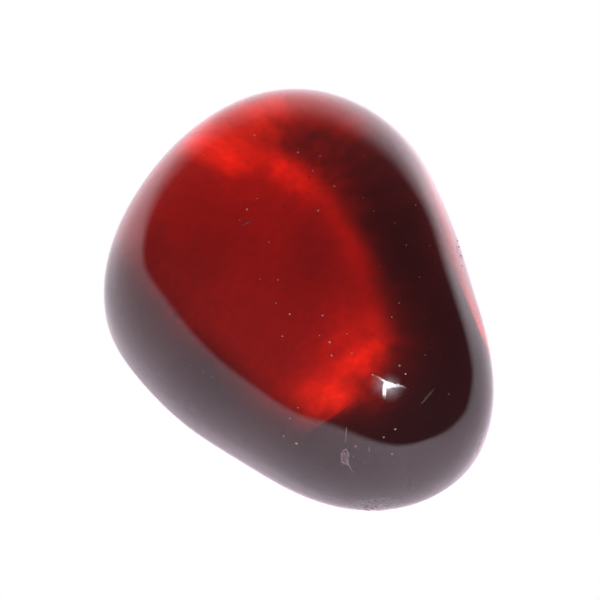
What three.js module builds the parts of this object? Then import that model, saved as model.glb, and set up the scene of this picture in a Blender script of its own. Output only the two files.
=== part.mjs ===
// A polished, tumbled pebble of deep red amber, lying on the flat of its underside.
// Millimetres, +Z up. X runs across, the blunt near end points to -Y, and the narrow far end to +Y.
// The origin is under the middle of the pebble, on the surface that it rests on.
import * as THREE from 'three';

// Widest level, seen from above: radii every 20 degrees, counter-clockwise from +X
const GIRDLE_RADII = [
  11.1, 10.8, 11.6, 13.1, 14.5, 14.8, 13.95, 13.2, 13.05,
  13.15, 12.5, 11.95, 12.15, 13.45, 15.9, 17.25, 16.0, 12.9,
];
// Height of the widest level, and how much higher it is on the +X side
const GIRDLE_HEIGHT = 6.8;
const GIRDLE_RISE = 0.95;

// Crown above the widest level: overall height, and how full its shoulders are (2 is an ellipse)
const HEIGHT = 16.2;
const SHOULDER_FULLNESS = 2.7;
const SHOULDER_SWING = 0.4;
const SHOULDER_SWING_DEG = -22;
const CROWN_ROUNDNESS = 2.2;

// Flat of the underside: a squarish oval, off centre and turned
const BASE_CENTRE = [-0.15, 2.7];
const BASE_RADII = [7.8, 3.5];
const BASE_TURN_DEG = 115;
const BASE_SQUARENESS = 2.6;

// Flank from the widest level down to the flat: 1 is a straight slope, 2 is an elliptic bulge.
// It is straight, except where it swells on the side that FLANK_SWELL_DEG faces.
const FLANK_STRAIGHT = 1.12;
const FLANK_SWELL = 0.98;
const FLANK_SWELL_DEG = 110;
const FLANK_SWELL_FOCUS = 2;
const FLANK_SHOULDER = 2;

// Facets: steps around, and rows in the crown and in the flank
const STEPS_AROUND = 72;
const CROWN_ROWS = 22;
const FLANK_ROWS = 13;

const AMBER_COLOUR = 0x7a1216;

const lerp = THREE.MathUtils.lerp;
const radians = THREE.MathUtils.degToRad;
const signedPower = (value, power) => Math.sign(value) * Math.abs(value) ** power;
const MEAN_RADIUS = GIRDLE_RADII.reduce((sum, r) => sum + r, 0) / GIRDLE_RADII.length;

// Smooth closed curve through the evenly spaced radii
function girdleRadius(angle) {
  const n = GIRDLE_RADII.length;
  let radius = 0;
  GIRDLE_RADII.forEach((r, k) => {
    const x = angle - (2 * Math.PI * k) / n;
    const wave = Math.abs(Math.sin(x / 2)) < 1e-9 ? 1 : Math.sin((n * x) / 2) / (n * Math.tan(x / 2));
    radius += r * wave;
  });
  return radius;
}

const girdleHeight = (angle) => GIRDLE_HEIGHT + GIRDLE_RISE * Math.cos(angle);

// One point of the crown: tilt is 0 at the widest level and a quarter turn at the top
function crownPoint(angle, tilt) {
  const fullness = SHOULDER_FULLNESS + SHOULDER_SWING * Math.cos(2 * (angle - radians(SHOULDER_SWING_DEG)));
  const share = Math.max(Math.cos(tilt), 0) ** (2 / fullness);
  const rise = Math.sin(tilt) ** (2 / CROWN_ROUNDNESS);
  // The levels grow round towards the top, so that the top is smooth
  const reach = share * lerp(MEAN_RADIUS, girdleRadius(angle), share);
  return [reach * Math.cos(angle), reach * Math.sin(angle), lerp(girdleHeight(angle), HEIGHT, rise)];
}

// The edge of the flat at the same angle
function basePoint(angle) {
  const turn = radians(BASE_TURN_DEG);
  const along = BASE_RADII[0] * signedPower(Math.cos(angle - turn), 2 / BASE_SQUARENESS);
  const across = BASE_RADII[1] * signedPower(Math.sin(angle - turn), 2 / BASE_SQUARENESS);
  return [
    BASE_CENTRE[0] + along * Math.cos(turn) - across * Math.sin(turn),
    BASE_CENTRE[1] + along * Math.sin(turn) + across * Math.cos(turn),
  ];
}

// One point of the flank: tuck is 0 at the widest level and a quarter turn at the flat
function flankPoint(angle, tuck) {
  const facing = (1 + Math.cos(angle - radians(FLANK_SWELL_DEG))) / 2;
  const bulge = FLANK_STRAIGHT + FLANK_SWELL * facing ** FLANK_SWELL_FOCUS;
  const share = Math.max(Math.cos(tuck), 0) ** (2 / bulge);
  const drop = Math.sin(tuck) ** (2 / FLANK_SHOULDER);
  const radius = girdleRadius(angle);
  const [baseX, baseY] = basePoint(angle);
  return [
    lerp(baseX, radius * Math.cos(angle), share),
    lerp(baseY, radius * Math.sin(angle), share),
    girdleHeight(angle) * (1 - drop),
  ];
}

// Rings of points from just under the top down to the edge of the flat
function pebbleRings() {
  const quarter = Math.PI / 2;
  const angles = Array.from({ length: STEPS_AROUND }, (_, i) => (2 * Math.PI * i) / STEPS_AROUND);
  const rings = [];
  for (let row = 1; row <= CROWN_ROWS; row += 1) {
    rings.push(angles.map((angle) => crownPoint(angle, quarter * (1 - row / CROWN_ROWS))));
  }
  for (let row = 1; row <= FLANK_ROWS; row += 1) {
    rings.push(angles.map((angle) => flankPoint(angle, (quarter * row) / FLANK_ROWS)));
  }
  return rings;
}

// One closed surface: a point on top, the rings, and the flat closed from its middle
function pebbleGeometry() {
  const rings = pebbleRings();
  const points = [[0, 0, HEIGHT], ...rings.flat(), [...BASE_CENTRE, 0]];
  const last = points.length - 1;
  const at = (ring, step) => 1 + ring * STEPS_AROUND + (step % STEPS_AROUND);
  const faces = [];
  for (let step = 0; step < STEPS_AROUND; step += 1) {
    faces.push(0, at(0, step), at(0, step + 1));
    for (let ring = 0; ring < rings.length - 1; ring += 1) {
      faces.push(at(ring, step), at(ring + 1, step), at(ring + 1, step + 1));
      faces.push(at(ring, step), at(ring + 1, step + 1), at(ring, step + 1));
    }
    faces.push(last, at(rings.length - 1, step + 1), at(rings.length - 1, step));
  }
  const geometry = new THREE.BufferGeometry();
  geometry.setAttribute('position', new THREE.Float32BufferAttribute(points.flat(), 3));
  geometry.setIndex(faces);
  geometry.computeBoundingBox();
  const middle = geometry.boundingBox.getCenter(new THREE.Vector3());
  geometry.translate(-middle.x, -middle.y, 0);
  geometry.computeVertexNormals();
  return geometry;
}

const amber = new THREE.Mesh(
  pebbleGeometry(),
  new THREE.MeshStandardMaterial({ color: AMBER_COLOUR, roughness: 0.05, metalness: 0 }),
);
amber.name = 'amber';

const part = new THREE.Group();
part.add(amber);

export default part;
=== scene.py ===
import math

import bmesh
import bpy
import numpy as np
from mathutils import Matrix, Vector, noise
from mathutils.bvhtree import BVHTree
from mathutils.interpolate import poly_3d_calc


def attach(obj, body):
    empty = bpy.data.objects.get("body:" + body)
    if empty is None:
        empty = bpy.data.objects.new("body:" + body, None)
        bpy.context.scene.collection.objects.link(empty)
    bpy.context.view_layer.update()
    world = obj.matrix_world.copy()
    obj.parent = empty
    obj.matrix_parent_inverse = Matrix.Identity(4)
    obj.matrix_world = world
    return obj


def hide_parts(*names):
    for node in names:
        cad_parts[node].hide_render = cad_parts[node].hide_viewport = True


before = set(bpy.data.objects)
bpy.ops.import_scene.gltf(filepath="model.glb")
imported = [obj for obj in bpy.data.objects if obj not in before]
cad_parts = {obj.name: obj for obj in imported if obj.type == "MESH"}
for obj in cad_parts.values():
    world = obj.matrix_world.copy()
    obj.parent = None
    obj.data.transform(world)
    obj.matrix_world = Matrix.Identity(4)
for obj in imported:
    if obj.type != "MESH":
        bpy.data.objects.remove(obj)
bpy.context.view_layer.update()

MM = 0.001

# Shape of the pebble in millimetres, the same values as in part.mjs
GIRDLE_RADII = np.array([
    11.1, 10.8, 11.6, 13.1, 14.5, 14.8, 13.95, 13.2, 13.05,
    13.15, 12.5, 11.95, 12.15, 13.45, 15.9, 17.25, 16.0, 12.9,
])
GIRDLE_HEIGHT, GIRDLE_RISE = 6.8, 0.95
HEIGHT = 16.2
SHOULDER_FULLNESS, SHOULDER_SWING, SHOULDER_SWING_DEG = 2.7, 0.4, -22
CROWN_ROUNDNESS = 2.2
BASE_CENTRE, BASE_RADII, BASE_TURN_DEG, BASE_SQUARENESS = (-0.15, 2.7), (7.8, 3.5), 115, 2.6
FLANK_STRAIGHT, FLANK_SWELL, FLANK_SWELL_DEG, FLANK_SWELL_FOCUS = 1.12, 0.98, 110, 2
FLANK_SHOULDER = 2.0
# Finer steps than in the CAD model, so that the polish reflects smoothly
STEPS_AROUND, CROWN_ROWS, FLANK_ROWS, FLAT_ROWS = 288, 90, 56, 8

# Amber: its refraction, and how much of each colour a metre of it takes away
AMBER_IOR = 1.54
ABSORPTION_PER_METRE = (80.0, 352.0, 460.0)
ABSORPTION_DENSITY = 500.0

# The polish: its waves, smears and pits. Scales are per metre, heights in metres, and a range is
# the part of the noise that counts.
WAVE_SCALE, WAVE_HEIGHT = 260, 0.012 * MM
SMEAR_SCALE, SMEAR_RANGE, POLISH_ROUGHNESS = 350, (0.35, 0.7), (0.012, 0.045)
PIT_SCALE, PIT_RANGE, PIT_DEPTH, FROST_ROUGHNESS = 7000, (0.5, 0.6), 0.01 * MM, 0.3
# The underside is grainy and satin, from the upper to the lower of these levels
UNDERSIDE_LEVELS = (2.5 * MM, 5.5 * MM)
GRAIN_SCALE, GRAIN_HEIGHT, UNDERSIDE_ROUGHNESS = 1400, 0.013 * MM, 0.23
# Clouds and speckles in the outermost resin, and the tint of the cloudiest places
CLOUD_SCALE, CLOUD_SHARE, SPECKLE_SCALE, CLOUDY_RANGE = 700, 0.6, 2600, (0.6, 1.1)
CLEAR_TINT, CLOUDY_TINT = (1.0, 1.0, 1.0), (0.8, 0.76, 0.76)
# Dust: its noise, relief, shades of its tint, and roughness
DUST_SCALE, DUST_RANGE, DUST_RELIEF = 9000, (0.3, 0.7), 0.02 * MM
DUST_SHADES, DUST_ROUGHNESS = (0.6, 1.2), (0.7, 0.95)
# Frosted places: pixel of the photo, and how far they reach in millimetres. Half of that is fully
# frosted.
FROSTED = [(477, 452, 0.9), (481, 440, 0.6), (380, 507, 1.6), (362, 506, 1.0), (459, 252, 0.9)]

# Camera of the photograph, which is 600 pixels square
PHOTO_PIXELS = 600
CAMERA_AIM = Vector((0.22, 0.53, 6.0)) * MM
CAMERA_ELEVATION_DEG = 60
CAMERA_DISTANCE = 0.2
CAMERA_LENS, CAMERA_SENSOR = 180.0, 36.0

# Studio: bright walls and floor under a dim ceiling, as the polish mirrors them. Their looks change
# from front to back, each between two values of the direction's Y.
CEILING_COLOUR = (0.27, 0.15, 0.18)
CEILING_BACK, CEILING_FRONT, CEILING_CHANGE = 0.8, 1.25, (-0.7, 0.7)
FRONT_COLOUR, BACK_COLOUR, COLOUR_CHANGE = (1.18, 1.0, 1.15), (1.12, 1.0, 1.1), (-0.6, 0.3)
# The walls, for each direction in degrees from -Y towards +X: light, elevation of their upper edge,
# and how soft that edge is
SURROUND = [
    (-180, 1.45, -4, 42), (-160, 1.15, -9, 42), (-140, 1.25, -4, 20), (-120, 1.4, 4, 10), (-100, 1.2, 7, 8),
    (-80, 1.2, 14, 9), (-60, 1.25, 16, 7), (-50, 1.35, 16, 7), (-40, 1.5, 22, 6), (-30, 1.6, 29, 7),
    (-20, 1.7, 31.5, 7), (-10, 1.78, 31, 7), (0, 1.85, 29, 7),
    (20, 2.05, 22.5, 6), (40, 2.0, 18, 4), (60, 1.8, 9, 7), (80, 1.4, 0, 7), (100, 1.4, -2, 8),
    (120, 2.0, 1, 17), (140, 2.05, -4, 20), (160, 1.5, 3, 28), (180, 1.45, -4, 42),
]
# A colour ramp keeps those three as shares of these ranges
MOST_LIGHT, LOWEST_EDGE_DEG, EDGE_SPAN_DEG, MOST_SOFT_DEG = 2.5, -20.0, 60.0, 50.0
# The floor around the pebble glows with painted light, the walls' light as seen from the pebble's
# rim: radius and height of the rim, and the least distance from it
RIM_RADIUS, RIM_HEIGHT, RIM_GAP = 13 * MM, 8.5 * MM, 0.5 * MM
# Next to the pebble the floor has painted shade behind it and a painted glow in front: where these
# fade, as distances from the rim or from a middle, and the share of light
SHADE_REACH, SHADE_LIGHT, SHADE_CHANGE = (5 * MM, 14 * MM), 0.76, (-0.15, 0.35)
GLOW_MIDDLE, GLOW_REACH, GLOW_LIGHT = (3 * MM, -3.5 * MM, 0), (13.5 * MM, 18.5 * MM), 1.2

# The floor: half its width, and how far it lies below the pebble
FLOOR_HALF, FLOOR_DROP = 2.0, 0.05 * MM

# Painted light and shade on the floor below the pebble, in place of the light that its underside
# would let through: a painted lit oval around the flat, inside a dark oval of painted shadow where
# the pebble covers the floor. Each oval is middle and radii in millimetres, and turn in degrees. An
# edge is where the light changes, as a share of the radii.
COVERED_OVAL = ((0.9, 1.3), (13.7, 9.5), 117)
COVERED_LIGHT, COVERED_EDGE = 0.015, (0.78, 0.95)
LIT_OVAL = ((-0.70, 3.89), (7.45, 4.47), 121)
LIT_LIGHT, LIT_EDGE = 0.84, (0.85, 1.10)
# Beyond a line on the near left the painted light ends and only the painted shadow is left: a point
# of it and its softness in millimetres, and the direction inwards in degrees
NEAR_LINE_POINT, NEAR_LINE_INWARD_DEG, NEAR_LINE_SOFT = (-2.4, 0.75), 46.5, 0.55
# Painted brighter and dimmer patches of that light, pools of light and shade: oval, and how much each adds
# in its middle
PATCHES = [
    ((4.07, -1.71), (1.36, 0.63), 47, 1.54),
    ((3.78, -2.15), (2.81, 1.57), 100, 1.10),
    ((2.81, -3.02), (0.67, 1.32), 59, 1.64),
    ((-0.56, 9.41), (2.88, 0.87), -35, 1.08),
    ((-0.9, 9.6), (0.7, 0.45), -35, 0.66),
    ((-3.3, 9.65), (0.8, 0.6), 19, 1.85),
    ((0.00, 10.61), (5.25, 3.65), -82, 0.34),
    ((-1.76, 12.15), (3.41, 0.90), 31, 2.37),
    ((0.89, 4.90), (1.47, 2.80), 8, -0.26),
    ((-4.78, 4.80), (1.93, 1.64), 50, -0.19),
    ((4.67, -0.13), (0.61, 1.50), -1, 0.86),
    ((3.25, 5.31), (3.36, 0.77), 115, 0.4),
    ((2.74, 11.01), (3.47, 0.45), 154, 0.59),
    ((-3.2, 8.3), (0.9, 0.6), 0, 0.2),
]
# What the painted patches add to that light's colour, so that they show orange through the red
PATCH_WARMTH = (0.0, 0.4, 0.0)
# Noise mottles the edge of the painted oval and the painted patches
MOTTLE_SCALE, MOTTLE_EDGE, MOTTLE_LIGHT = 1100, 0.2, 1.9

# Lamp that the polish mirrors as a star, drawn in the pixels of the photo where it shows: a round
# core and fans. A fan is its light and its points (x, y, share of that light), first its middle.
LAMP_DISTANCE = 0.5
LAMP_COLOUR = (0.9, 0.92, 1.0)
STAR_CORE, STAR_CORE_RADIUS, STAR_CORE_LIGHT, STAR_CORE_SIDES = (389.0, 385.6), 5.4, 75, 16
STAR_FALLOFF = 2.3
STAR_FANS = [
    (22, [(384, 381.3, 1), (387.5, 386, 1), (379.5, 378.9, 0.5), (372, 374, 0), (379.8, 377.9, 0.5),
          (389, 382.6, 1)]),
    (17, [(395, 385, 1), (389, 387.5, 1), (400, 387.3, 0.6), (409, 388.4, 0), (402, 385.2, 0.6),
          (390, 383, 1)]),
    (40, [(385.4, 389, 1), (384, 383, 0.9), (382.6, 395.6, 0.85), (383.4, 400, 0), (385.8, 396.5, 0.85),
          (387.3, 385, 0.9)]),
    (6.5, [(391, 388.5, 1), (384, 386, 0.9), (386, 397, 0.55), (386, 405, 0), (395, 403, 0.1), (404, 397, 0),
         (409, 389, 0), (398, 384, 0.9)]),
    (4.5, [(383, 386, 1), (389, 388, 1), (384, 380, 0.8), (374, 374, 0.35), (366, 382, 0), (369, 395, 0),
           (383, 400, 0.2)]),
    (3, [(389, 381, 1), (384, 386, 1), (380, 376, 0.1), (389, 370, 0), (402, 376, 0), (399, 386, 0.8)]),
]

# Dust on the polish, and the painted shade of tiny pits as near-black specks: pixel, how wide in pixels, and
# colour
PALE, FAINT, DARK_PIT_SHADE = (0.48, 0.38, 0.36), (0.2, 0.15, 0.15), (0.02, 0.006, 0.006)
BLUISH, PURPLE, GOLDEN = (0.34, 0.38, 0.46), (0.24, 0.14, 0.28), (0.7, 0.47, 0.2)
RUBBED, OLIVE = (0.27, 0.22, 0.24), (0.08, 0.065, 0.035)
SPECKS = [
    (254.7, 135, 2.2, PALE), (246.9, 209.3, 2.2, PALE), (318, 210.4, 2.4, PALE), (334.2, 186, 2.2, PALE),
    (297.9, 152.4, 2.4, BLUISH), (320, 156, 2.6, PURPLE), (203.8, 155, 1.8, PALE), (243.7, 111.7, 1.8, PALE),
    (257, 198.5, 1.4, PALE), (312.8, 170.8, 2, PALE), (289.8, 314, 2.2, PALE), (322.7, 315.2, 2.2, PALE),
    (329.6, 342, 2.6, PALE), (331.6, 355.5, 2, PALE), (319.6, 335.4, 1.6, PALE), (282.5, 336, 1.8, PALE),
    (346.8, 333.7, 1.5, PALE), (351.7, 353, 1.5, PALE), (399.5, 365.4, 2.4, PALE), (405.5, 373.8, 2.2, PALE),
    (372.7, 374.7, 2, PALE), (395.4, 429.2, 2, PALE), (383.8, 437.2, 2, PALE), (283.8, 436, 1.8, PALE),
    (290, 418.5, 1.4, PALE), (297.7, 407.8, 1.4, PALE), (391.9, 317, 1.5, PALE), (240, 220, 1.5, PALE),
    (269, 242, 1.4, PALE), (260, 279, 1.4, PALE), (278, 280, 1.5, PALE), (276, 303, 1.4, PALE),
    (399, 303, 1.5, PALE), (392, 454, 1.5, PALE), (159, 374, 1.5, PALE), (140, 329, 1.4, PALE),
    (140, 335, 1.3, PALE), (190, 408, 1.4, PALE), (195, 409, 1.4, PALE), (296.5, 443.5, 2.4, GOLDEN),
    (150.3, 349, 1.5, FAINT), (190, 365, 1.8, FAINT), (203, 371.5, 1.7, FAINT), (212.5, 376.6, 1.6, FAINT),
    (193, 395, 1.7, FAINT), (216, 393, 1.3, FAINT), (256, 440, 1.4, FAINT), (234, 436, 1.5, FAINT),
    (146.7, 367.6, 1.4, FAINT), (169.5, 357, 1.4, FAINT), (395, 223, 1.6, FAINT), (415.4, 205, 1.5, PALE),
    (373.7, 211, 1.8, FAINT), (411.5, 169, 1.5, PALE), (364.7, 156, 1.5, FAINT), (406.4, 245, 1.4, FAINT),
    (429.5, 245, 1.4, FAINT), (419.3, 277, 1.6, FAINT), (379.4, 266, 1.4, FAINT), (363, 197.6, 1.3, FAINT),
    (319.7, 467.5, 1.6, FAINT), (437.6, 485.5, 2, PALE), (373.4, 472, 1.4, FAINT), (369.5, 449, 1.6, FAINT),
    (449, 394, 1.6, FAINT), (425, 355, 1.6, FAINT), (365, 463, 1.4, FAINT), (321.8, 489, 1.6, DARK_PIT_SHADE),
    (283.8, 206.6, 1.8, DARK_PIT_SHADE), (293.6, 155, 2, DARK_PIT_SHADE), (316.9, 152.4, 1.8, DARK_PIT_SHADE), (309.3, 177.3, 1.8, DARK_PIT_SHADE),
    (457.5, 241, 2, DARK_PIT_SHADE), (459, 247, 2.4, DARK_PIT_SHADE), (461, 256, 2.2, DARK_PIT_SHADE), (462, 266, 2.4, DARK_PIT_SHADE),
]
# A speck is a flattened ball with lumps, sunk into the polish
SPECK_SHAPE, SPECK_SINK = Vector((1.0, 0.8, 0.5)), 0.175
LUMP_SCALE, LUMP_HEIGHT, LUMP_STEP, NOISE_SEED = 1.7, 0.3, 3.1, 11

# Scratches and rub marks: from pixel, to pixel, how wide in pixels, and colour
MARKS = [
    (241, 225.6, 254, 219.6, 1.6, FAINT), (346.5, 427, 345.5, 442, 1.4, RUBBED),
    (341, 459, 342.5, 451, 2.2, RUBBED), (342.5, 451, 347, 449, 2, RUBBED),
    (347, 450, 349, 457, 2.2, RUBBED), (344.5, 452, 346, 462, 4.5, FAINT),
    (348, 457, 347, 464, 2.2, RUBBED), (340, 461, 347, 464.5, 2, RUBBED),
    (346, 460, 350, 467, 2.4, RUBBED), (349, 465, 352.5, 472, 1.4, RUBBED),
    (342, 456, 343, 463, 2.4, FAINT), (341.5, 464, 345, 466, 1.4, FAINT),
    (354.5, 446, 357.5, 446.5, 2.4, FAINT), (353, 455, 354, 458, 2, FAINT),
    (369, 446, 369.5, 452, 1.8, FAINT), (421, 404, 434, 389, 3.2, OLIVE),
]
# A mark is a low ridge with a rough edge: its height and depth, the noise of its edge, how wide
# its ends are, and how fast it widens from them
MARK_LIFT = 0.012 * MM
ROUGH_LEAST, ROUGH_SPAN, ROUGH_STEP, ROUGH_MARK_STEP = 0.6, 0.8, 0.9, 5.3
MARK_END, MARK_TAPER = 0.3, 3


def add_node(tree, kind, inputs=None, **settings):
    """Adds a shader node, and sets or links the inputs that are named."""
    made = tree.nodes.new("ShaderNode" + kind)
    for name, value in settings.items():
        setattr(made, name, value)
    for name, value in (inputs or {}).items():
        if isinstance(value, bpy.types.NodeSocket):
            tree.links.new(value, made.inputs[name])
        else:
            made.inputs[name].default_value = value
    return made


def maths(tree, operation, first, second=0.0, third=0.0):
    """One step of arithmetic on sockets or numbers."""
    return add_node(tree, "Math", {0: first, 1: second, 2: third}, operation=operation).outputs[0]


def blend(tree, value, low, high, at_low=0.0, at_high=1.0):
    """Goes smoothly from one number to another as a value goes from low to high."""
    inputs = {"Value": value, "From Min": low, "From Max": high, "To Min": at_low, "To Max": at_high}
    return add_node(tree, "MapRange", inputs, interpolation_type="SMOOTHSTEP").outputs[0]


def mix_colour(tree, factor, first, second):
    """Goes from one colour to another as the factor goes from 0 to 1."""
    made = add_node(tree, "Mix", data_type="RGBA", clamp_result=False)
    for socket, value in zip((made.inputs[0], made.inputs[6], made.inputs[7]), (factor, first, second)):
        if isinstance(value, bpy.types.NodeSocket):
            tree.links.new(value, socket)
        else:
            socket.default_value = value
    return made.outputs[2]


def scaled(tree, vector, factor):
    """A vector or colour times a number."""
    return add_node(tree, "VectorMath", {0: vector, "Scale": factor}, operation="SCALE").outputs[0]


def white_to_camera(tree, light):
    """The camera itself sees plain white instead of the light."""
    seen = add_node(tree, "LightPath").outputs["Is Camera Ray"]
    return mix_colour(tree, seen, light, (1, 1, 1, 1))


def noise_node(tree, place, scale, detail):
    """Noise between 0 and 1."""
    inputs = {"Vector": place, "Scale": scale, "Detail": detail}
    return add_node(tree, "TexNoise", inputs).outputs["Fac"]


def new_material(name):
    """An empty node material, and its tree."""
    material = bpy.data.materials.new(name)
    material.use_nodes = True
    material.node_tree.nodes.clear()
    return material, material.node_tree


def new_object(name, points, faces, material, smooth=True):
    """A mesh object with one material."""
    mesh = bpy.data.meshes.new(name)
    mesh.from_pydata(points, [], faces)
    mesh.materials.append(material)
    if smooth:
        mesh.shade_smooth()
    made = bpy.data.objects.new(name, mesh)
    bpy.context.scene.collection.objects.link(made)
    return made


# The pebble's surface, by the same formulas as in part.mjs

def girdle_radius(angle):
    """Smooth closed curve through the evenly spaced radii."""
    n = len(GIRDLE_RADII)
    x = angle[:, None] - 2 * np.pi * np.arange(n) / n
    near = np.abs(np.sin(x / 2)) < 1e-9
    wave = np.where(near, 1.0, np.sin(n * x / 2) / (n * np.tan(np.where(near, 1.0, x) / 2)))
    return wave @ GIRDLE_RADII


def signed_power(value, power):
    """A power that keeps the sign of its value."""
    return np.sign(value) * np.abs(value) ** power


def base_edge(angle):
    """The edge of the flat that the pebble rests on."""
    turn = math.radians(BASE_TURN_DEG)
    along = BASE_RADII[0] * signed_power(np.cos(angle - turn), 2 / BASE_SQUARENESS)
    across = BASE_RADII[1] * signed_power(np.sin(angle - turn), 2 / BASE_SQUARENESS)
    return np.stack([
        BASE_CENTRE[0] + along * math.cos(turn) - across * math.sin(turn),
        BASE_CENTRE[1] + along * math.sin(turn) + across * math.cos(turn),
    ], axis=1)


def pebble_rings():
    """Rings of points in millimetres, from just under the top down to the middle of the flat."""
    angle = 2 * np.pi * np.arange(STEPS_AROUND) / STEPS_AROUND
    direction = np.stack([np.cos(angle), np.sin(angle)], axis=1)
    radius = girdle_radius(angle)
    girdle = GIRDLE_HEIGHT + GIRDLE_RISE * np.cos(angle)
    edge = base_edge(angle)
    fullness = SHOULDER_FULLNESS + SHOULDER_SWING * np.cos(2 * (angle - math.radians(SHOULDER_SWING_DEG)))
    facing = (1 + np.cos(angle - math.radians(FLANK_SWELL_DEG))) / 2
    bulge = FLANK_STRAIGHT + FLANK_SWELL * facing ** FLANK_SWELL_FOCUS
    rings = []
    for row in range(1, CROWN_ROWS + 1):
        tilt = math.pi / 2 * (1 - row / CROWN_ROWS)
        share = math.cos(tilt) ** (2 / fullness)
        reach = share * (GIRDLE_RADII.mean() * (1 - share) + radius * share)
        height = girdle + (HEIGHT - girdle) * math.sin(tilt) ** (2 / CROWN_ROUNDNESS)
        rings.append(np.column_stack([direction * reach[:, None], height]))
    for row in range(1, FLANK_ROWS + 1):
        tuck = math.pi / 2 * row / FLANK_ROWS
        share = (max(math.cos(tuck), 0) ** (2 / bulge))[:, None]
        level = edge * (1 - share) + direction * radius[:, None] * share
        rings.append(np.column_stack([level, girdle * (1 - math.sin(tuck) ** (2 / FLANK_SHOULDER))]))
    for row in range(1, FLAT_ROWS):
        share = row / FLAT_ROWS
        level = edge * (1 - share) + np.array(BASE_CENTRE) * share
        rings.append(np.column_stack([level, np.zeros(STEPS_AROUND)]))
    return rings


def pebble_mesh():
    """Points in metres and faces of the closed surface, centred as the CAD model is."""
    rings = pebble_rings()
    points = np.vstack([[(0, 0, HEIGHT)], *rings, [(*BASE_CENTRE, 0)]])
    middle = (points.max(axis=0) + points.min(axis=0)) / 2
    points[:, :2] -= middle[:2]
    last = len(points) - 1
    faces = []
    for step in range(STEPS_AROUND):
        here, there = 1 + step, 1 + (step + 1) % STEPS_AROUND
        faces.append((0, here, there))
        for ring in range(len(rings) - 1):
            above, below = ring * STEPS_AROUND, (ring + 1) * STEPS_AROUND
            faces.append((here + above, here + below, there + below, there + above))
        bottom = (len(rings) - 1) * STEPS_AROUND
        faces.append((last, there + bottom, here + bottom))
    return (points * MM).tolist(), faces


# Materials

def amber_material(frosted):
    """Clear red resin: plain transmission, refraction and absorption, under a tumbled polish."""
    material, tree = new_material("amber_resin")
    place = add_node(tree, "TexCoord").outputs["Object"]
    height = add_node(tree, "SeparateXYZ", {0: place}).outputs["Z"]
    waves = noise_node(tree, place, WAVE_SCALE, 1.0)
    grain = noise_node(tree, place, GRAIN_SCALE, 3.0)
    smear = noise_node(tree, place, SMEAR_SCALE, 4.0)
    # Frosted places, where the tumbler left tiny pits
    frost = 0.0
    for spot, radius in frosted:
        offset = add_node(tree, "VectorMath", {0: place, 1: spot}, operation="DISTANCE").outputs["Value"]
        frost = maths(tree, "ADD", frost, blend(tree, offset, radius / 2, radius, 1.0, 0.0))
    pits = noise_node(tree, place, PIT_SCALE, 2.0)
    frost = maths(tree, "MULTIPLY", frost, blend(tree, pits, *PIT_RANGE))
    # Waves of the polish on the dome, and a rougher relief on the underside
    under = blend(tree, height, *UNDERSIDE_LEVELS, 1.0, 0.0)
    relief = maths(tree, "MULTIPLY", waves, WAVE_HEIGHT)
    relief = maths(tree, "MULTIPLY_ADD", maths(tree, "MULTIPLY", grain, under), GRAIN_HEIGHT, relief)
    relief = maths(tree, "MULTIPLY_ADD", frost, -PIT_DEPTH, relief)
    bump = add_node(tree, "Bump", {"Height": relief, "Distance": 1.0, "Strength": 1.0})
    roughness = blend(tree, smear, *SMEAR_RANGE, *POLISH_ROUGHNESS)
    roughness = maths(tree, "MULTIPLY_ADD", frost, FROST_ROUGHNESS, roughness)
    roughness = maths(tree, "MULTIPLY_ADD", under, UNDERSIDE_ROUGHNESS, roughness)
    clouds = noise_node(tree, place, CLOUD_SCALE, 2.0)
    speckles = noise_node(tree, place, SPECKLE_SCALE, 2.0)
    cloudy = blend(tree, maths(tree, "MULTIPLY_ADD", clouds, CLOUD_SHARE, speckles), *CLOUDY_RANGE)
    tint = mix_colour(tree, cloudy, (*CLEAR_TINT, 1), (*CLOUDY_TINT, 1))
    shader = add_node(tree, "BsdfPrincipled", {
        "Base Color": tint,
        "Roughness": roughness,
        "IOR": AMBER_IOR,
        "Transmission Weight": 1.0,
        "Normal": bump.outputs[0],
    })
    taken = [1 - amount / ABSORPTION_DENSITY for amount in ABSORPTION_PER_METRE]
    depth = add_node(tree, "VolumeAbsorption", {"Color": (*taken, 1), "Density": ABSORPTION_DENSITY})
    add_node(tree, "OutputMaterial", {"Surface": shader.outputs[0], "Volume": depth.outputs[0]})
    return material


def dust_material():
    """Dull dust, rubbed resin and specks of painted pit shade, each bit in its own tint."""
    material, tree = new_material("dust")
    place = add_node(tree, "TexCoord").outputs["Object"]
    uneven = noise_node(tree, place, DUST_SCALE, 3.0)
    tint = add_node(tree, "Attribute", attribute_name="tint").outputs["Color"]
    shade = blend(tree, uneven, *DUST_RANGE, *DUST_SHADES)
    colour = scaled(tree, tint, shade)
    relief = maths(tree, "MULTIPLY", uneven, DUST_RELIEF)
    bump = add_node(tree, "Bump", {"Height": relief, "Distance": 1.0})
    roughness = blend(tree, uneven, *DUST_RANGE, *DUST_ROUGHNESS)
    shader = add_node(tree, "BsdfPrincipled", {
        "Base Color": colour, "Roughness": roughness, "Normal": bump.outputs[0],
    })
    add_node(tree, "OutputMaterial", {"Surface": shader.outputs[0]})
    return material


def oval_reach(tree, place, middle, radii, turn):
    """How far out a place lies from the middle of an oval, whose edge is at 1."""
    within = add_node(tree, "Mapping", {
        "Vector": place,
        "Location": (middle[0] * MM, middle[1] * MM, 0),
        "Rotation": (0, 0, math.radians(turn)),
        "Scale": (radii[0] * MM, radii[1] * MM, 1),
    }, vector_type="TEXTURE").outputs[0]
    return add_node(tree, "VectorMath", {0: within}, operation="LENGTH").outputs["Value"]


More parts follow.
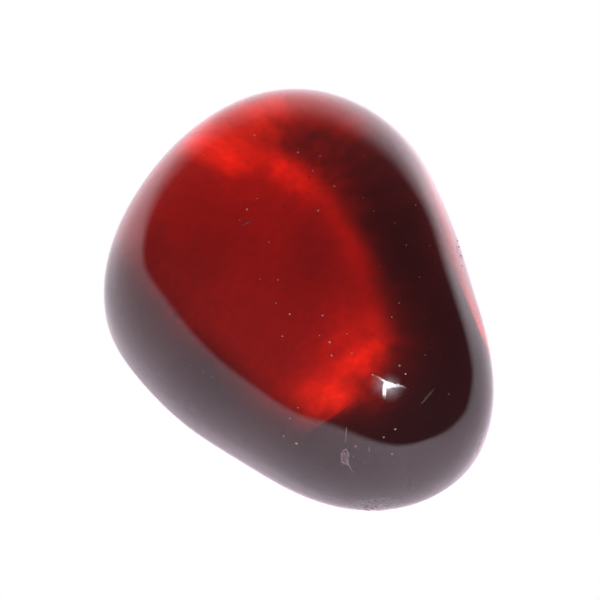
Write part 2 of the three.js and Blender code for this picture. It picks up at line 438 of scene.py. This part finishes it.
def surround_light(tree, direction, elevation):
    """Light that comes from a direction around the pebble: walls, or the ceiling above them."""
    axes = add_node(tree, "SeparateXYZ", {0: direction}).outputs
    azimuth = maths(tree, "ARCTAN2", axes["X"], maths(tree, "MULTIPLY", axes["Y"], -1.0))
    ramp = add_node(tree, "ValToRGB", {"Fac": maths(tree, "MULTIPLY_ADD", azimuth, 0.5 / math.pi, 0.5)})
    stops = ramp.color_ramp.elements
    for number, (degrees, light, edge, softness) in enumerate(SURROUND):
        place = (degrees + 180) / 360
        stop = stops.new(place) if 0 < number < len(SURROUND) - 1 else stops[0 if number == 0 else -1]
        edge_share = (edge - LOWEST_EDGE_DEG) / EDGE_SPAN_DEG
        stop.color = (light / MOST_LIGHT, edge_share, softness / MOST_SOFT_DEG, 1)
    parts = add_node(tree, "SeparateXYZ", {0: ramp.outputs["Color"]}).outputs
    edge = maths(tree, "MULTIPLY_ADD", parts["Y"], EDGE_SPAN_DEG, LOWEST_EDGE_DEG)
    softness = maths(tree, "MULTIPLY", parts["Z"], MOST_SOFT_DEG)
    above = maths(tree, "DIVIDE", maths(tree, "SUBTRACT", elevation, edge), softness)
    strength = maths(tree, "MULTIPLY", parts["X"], MOST_LIGHT)
    back = blend(tree, axes["Y"], *COLOUR_CHANGE)
    colour = mix_colour(tree, back, (*FRONT_COLOUR, 1), (*BACK_COLOUR, 1))
    walls = scaled(tree, colour, strength)
    front = blend(tree, axes["Y"], *CEILING_CHANGE, CEILING_FRONT, CEILING_BACK)
    ceiling = scaled(tree, CEILING_COLOUR, front)
    return mix_colour(tree, blend(tree, above, -0.5, 0.5), walls, ceiling)


def painted_light_below(tree, place):
    """Painted light and shade on the floor that the pebble covers, in place of light through its underside.
    """
    mottle = maths(tree, "SUBTRACT", noise_node(tree, place, MOTTLE_SCALE, 3.0), 0.5)
    lit_reach = maths(tree, "MULTIPLY_ADD", mottle, MOTTLE_EDGE, oval_reach(tree, place, *LIT_OVAL))
    even_light = blend(tree, lit_reach, *LIT_EDGE, LIT_LIGHT - COVERED_LIGHT, 0.0)
    patch_light = maths(tree, "MULTIPLY_ADD", mottle, MOTTLE_LIGHT, 1.0)
    patches = 0.0
    for middle, radii, turn, amount in PATCHES:
        reach = oval_reach(tree, place, middle, radii, turn)
        squared = maths(tree, "MULTIPLY", reach, reach)
        falloff = maths(tree, "EXPONENT", maths(tree, "MULTIPLY", squared, -1.0))
        patches = maths(tree, "MULTIPLY_ADD", falloff, maths(tree, "MULTIPLY", patch_light, amount), patches)
    # How far inside the line on the near left a place lies
    start = (NEAR_LINE_POINT[0] * MM, NEAR_LINE_POINT[1] * MM, 0)
    offset = add_node(tree, "VectorMath", {0: place, 1: start}, operation="SUBTRACT").outputs[0]
    inward = math.radians(NEAR_LINE_INWARD_DEG)
    across = (math.cos(inward), math.sin(inward), 0)
    inside = add_node(tree, "VectorMath", {0: offset, 1: across}, operation="DOT_PRODUCT").outputs["Value"]
    # Beyond the near line only the painted shadow is left
    within = blend(tree, inside, -NEAR_LINE_SOFT * MM, NEAR_LINE_SOFT * MM)
    light = maths(tree, "ADD", even_light, patches)
    light = maths(tree, "MULTIPLY_ADD", light, within, COVERED_LIGHT)
    warm = maths(tree, "MAXIMUM", maths(tree, "MULTIPLY", patches, within), 0.0)
    colours = {0: scaled(tree, FRONT_COLOUR, light), 1: scaled(tree, PATCH_WARMTH, warm)}
    return add_node(tree, "VectorMath", colours, operation="ADD").outputs[0]


def painted_light_around(tree, place):
    """Painted light on the floor around the pebble, from the walls, with painted shade behind it and a
    painted glow in front.
    """
    distance = add_node(tree, "VectorMath", {0: place}, operation="LENGTH").outputs["Value"]
    distance = maths(tree, "MAXIMUM", maths(tree, "SUBTRACT", distance, RIM_RADIUS), RIM_GAP)
    elevation = maths(tree, "MULTIPLY", maths(tree, "ARCTAN2", RIM_HEIGHT, distance), -180 / math.pi)
    level = add_node(tree, "VectorMath", {0: place}, operation="NORMALIZE").outputs[0]
    light = surround_light(tree, level, elevation)
    # Painted shade behind the pebble and painted glow in front of it
    behind = blend(tree, add_node(tree, "SeparateXYZ", {0: level}).outputs["Y"], *SHADE_CHANGE)
    shade = blend(tree, distance, *SHADE_REACH, SHADE_LIGHT, 1.0)
    offset = add_node(tree, "VectorMath", {0: place, 1: GLOW_MIDDLE}, operation="DISTANCE").outputs["Value"]
    glow = blend(tree, offset, *GLOW_REACH, GLOW_LIGHT, 1.0)
    factor = maths(tree, "MULTIPLY_ADD", maths(tree, "SUBTRACT", shade, glow), behind, glow)
    return scaled(tree, light, factor)


def floor_material():
    """White surface that glows with painted light: painted shadow and pools of light where the pebble covers
    it, and the walls' light around it.
    """
    material, tree = new_material("white_surface")
    place = add_node(tree, "TexCoord").outputs["Object"]
    uncovered = blend(tree, oval_reach(tree, place, *COVERED_OVAL), *COVERED_EDGE)
    light = mix_colour(tree, uncovered, painted_light_below(tree, place), painted_light_around(tree, place))
    glow = add_node(tree, "Emission", {"Color": white_to_camera(tree, light), "Strength": 1.0})
    add_node(tree, "OutputMaterial", {"Surface": glow.outputs[0]})
    return material


def lamp_material():
    """Glows by each point's share of its fan's light. It hides nothing, so that the fans add up."""
    material, tree = new_material("lamp")
    tint = add_node(tree, "Attribute", attribute_name="tint").outputs["Vector"]
    parts = add_node(tree, "SeparateXYZ", {0: tint}).outputs
    strength = maths(tree, "MULTIPLY", maths(tree, "POWER", parts["X"], STAR_FALLOFF), parts["Y"])
    glow = add_node(tree, "Emission", {"Color": (*LAMP_COLOUR, 1), "Strength": strength})
    clear = add_node(tree, "BsdfTransparent")
    both = add_node(tree, "AddShader", {0: glow.outputs[0], 1: clear.outputs[0]})
    add_node(tree, "OutputMaterial", {"Surface": both.outputs[0]})
    return material


# Studio

def make_world():
    """Bright walls under a dim ceiling."""
    world = bpy.data.worlds.new("studio")
    bpy.context.scene.world = world
    world.use_nodes = True
    tree = world.node_tree
    tree.nodes.clear()
    direction = add_node(tree, "TexCoord").outputs["Generated"]
    height = add_node(tree, "SeparateXYZ", {0: direction}).outputs["Z"]
    elevation = maths(tree, "DEGREES", maths(tree, "ARCSINE", height))
    light = surround_light(tree, direction, elevation)
    background = add_node(tree, "Background", {"Color": white_to_camera(tree, light), "Strength": 1.0})
    add_node(tree, "OutputWorld", {"Surface": background.outputs[0]})


def make_floor():
    """The white surface that the pebble lies on."""
    half = FLOOR_HALF
    corners = [(-half, -half, 0), (half, -half, 0), (half, half, 0), (-half, half, 0)]
    floor = new_object("floor", corners, [(0, 1, 2, 3)], floor_material(), smooth=False)
    floor.location.z = -FLOOR_DROP


def pixel_ray(x, y):
    """The camera's sight line through a pixel of the photograph."""
    scale = CAMERA_SENSOR / CAMERA_LENS / PHOTO_PIXELS
    camera = bpy.context.scene.camera
    sight = Vector(((x - PHOTO_PIXELS / 2) * scale, (PHOTO_PIXELS / 2 - y) * scale, -1))
    return camera.location, (camera.rotation_euler.to_matrix() @ sight).normalized()


def surface_at(pebble, tree, x, y):
    """Where a pixel meets the pebble, the smooth surface's direction there, and the sight line."""
    start, sight = pixel_ray(x, y)
    place, _, face, _ = tree.ray_cast(start, sight)
    corners = [pebble.data.vertices[k] for k in pebble.data.polygons[face].vertices]
    shares = poly_3d_calc([corner.co for corner in corners], place)
    normal = sum((corner.normal * share for corner, share in zip(corners, shares)), Vector())
    return place, normal.normalized(), sight


def add_tint(mesh, values):
    """Gives every point of a mesh its own colour or light."""
    tint = mesh.color_attributes.new("tint", "FLOAT_COLOR", "POINT")
    for point, value in zip(tint.data, values):
        point.color = (*value, 1)


def make_lamp(pebble, tree):
    """The bright shape that the polish mirrors as a star, drawn where the photograph shows it."""
    x, y = STAR_CORE
    turns = [2 * math.pi * k / STAR_CORE_SIDES for k in range(STAR_CORE_SIDES)]
    rim = [(x + STAR_CORE_RADIUS * math.cos(t), y + STAR_CORE_RADIUS * math.sin(t), 0) for t in turns]
    points, faces, light = [], [], []
    for layer, (strength, fan) in enumerate([(STAR_CORE_LIGHT, [(x, y, 1), *rim]), *STAR_FANS]):
        first = len(points)
        for x, y, share in fan:
            place, normal, sight = surface_at(pebble, tree, x, y)
            points.append(place + sight.reflect(normal) * (LAMP_DISTANCE + layer * MM))
            light.append((share, strength, 0))
        count = len(fan) - 1
        faces += [(first, first + 1 + k, first + 1 + (k + 1) % count) for k in range(count)]
    lamp = new_object("lamp", points, faces, lamp_material(), smooth=False)
    add_tint(lamp.data, light)
    lamp.visible_camera = False


def make_dust(pebble, tree):
    """Specks of dust and of painted pit shade that sit in the polish, and scratches and rub marks along it.
    """
    pixel = CAMERA_DISTANCE * CAMERA_SENSOR / CAMERA_LENS / PHOTO_PIXELS
    points, faces, tints = [], [], []
    for number, (x, y, width, colour) in enumerate(SPECKS):
        place, normal, _ = surface_at(pebble, tree, x, y)
        turn = normal.to_track_quat("Z", "Y")
        radius = width * pixel / 2
        grain = bmesh.new()
        bmesh.ops.create_icosphere(grain, subdivisions=2, radius=1.0)
        first = len(points)
        for point in grain.verts:
            seed = Vector((number * LUMP_STEP, NOISE_SEED, 0))
            lump = 1 + LUMP_HEIGHT * noise.noise(point.co * LUMP_SCALE + seed)
            lumpy = turn @ (point.co * SPECK_SHAPE * lump * radius)
            points.append(place + lumpy - normal * radius * SPECK_SINK)
            tints.append(colour)
        faces += [[first + corner.index for corner in face.verts] for face in grain.faces]
        grain.free()
    for number, (x0, y0, x1, y1, width, colour) in enumerate(MARKS):
        steps = max(3, round(math.hypot(x1 - x0, y1 - y0)))
        first = len(points)
        along = surface_at(pebble, tree, x1 + 0.5, y1 + 0.5)[0] - surface_at(pebble, tree, x0, y0)[0]
        for step in range(steps + 1):
            share = step / steps
            place, normal, _ = surface_at(pebble, tree, x0 + (x1 - x0) * share, y0 + (y1 - y0) * share)
            side = normal.cross(along).normalized()
            seed = Vector((number * ROUGH_MARK_STEP, step * ROUGH_STEP, NOISE_SEED))
            rough = ROUGH_LEAST + ROUGH_SPAN * abs(noise.noise(seed))
            reach = width * pixel / 2 * rough * min(1, MARK_END + MARK_TAPER * share * (1 - share))
            lift = normal * MARK_LIFT
            points += [place + side * reach - lift, place + lift, place - side * reach - lift]
            tints += [colour] * 3
        for step in range(steps):
            here, there = first + 3 * step, first + 3 * step + 3
            faces += [(here, here + 1, there + 1, there), (here + 1, here + 2, there + 2, there + 1)]
    dust = new_object("dust", points, faces, dust_material())
    add_tint(dust.data, tints)
    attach(dust, "root")


def make_camera():
    """The camera of the photograph."""
    data = bpy.data.cameras.new("camera")
    data.lens, data.sensor_width = CAMERA_LENS, CAMERA_SENSOR
    data.clip_start, data.clip_end = 0.01, 10.0
    camera = bpy.data.objects.new("camera", data)
    bpy.context.scene.collection.objects.link(camera)
    tilt = math.radians(CAMERA_ELEVATION_DEG)
    back = Vector((0, -math.cos(tilt), math.sin(tilt)))
    camera.location = CAMERA_AIM + back * CAMERA_DISTANCE
    camera.rotation_euler = (math.pi / 2 - tilt, 0, 0)
    bpy.context.scene.camera = camera


def make_pebble():
    """The pebble, and a tree of its faces for finding places on it."""
    points, faces = pebble_mesh()
    pebble = new_object("pebble", points, faces, None)
    tree = BVHTree.FromPolygons(points, faces)
    frosted = [(surface_at(pebble, tree, x, y)[0], reach * MM) for x, y, reach in FROSTED]
    pebble.data.materials[0] = amber_material(frosted)
    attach(pebble, "root")
    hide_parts("amber")
    return pebble, tree


make_camera()
make_world()
make_floor()
pebble, surface = make_pebble()
make_dust(pebble, surface)
make_lamp(pebble, surface)
bpy.context.scene.view_settings.view_transform = "Standard"
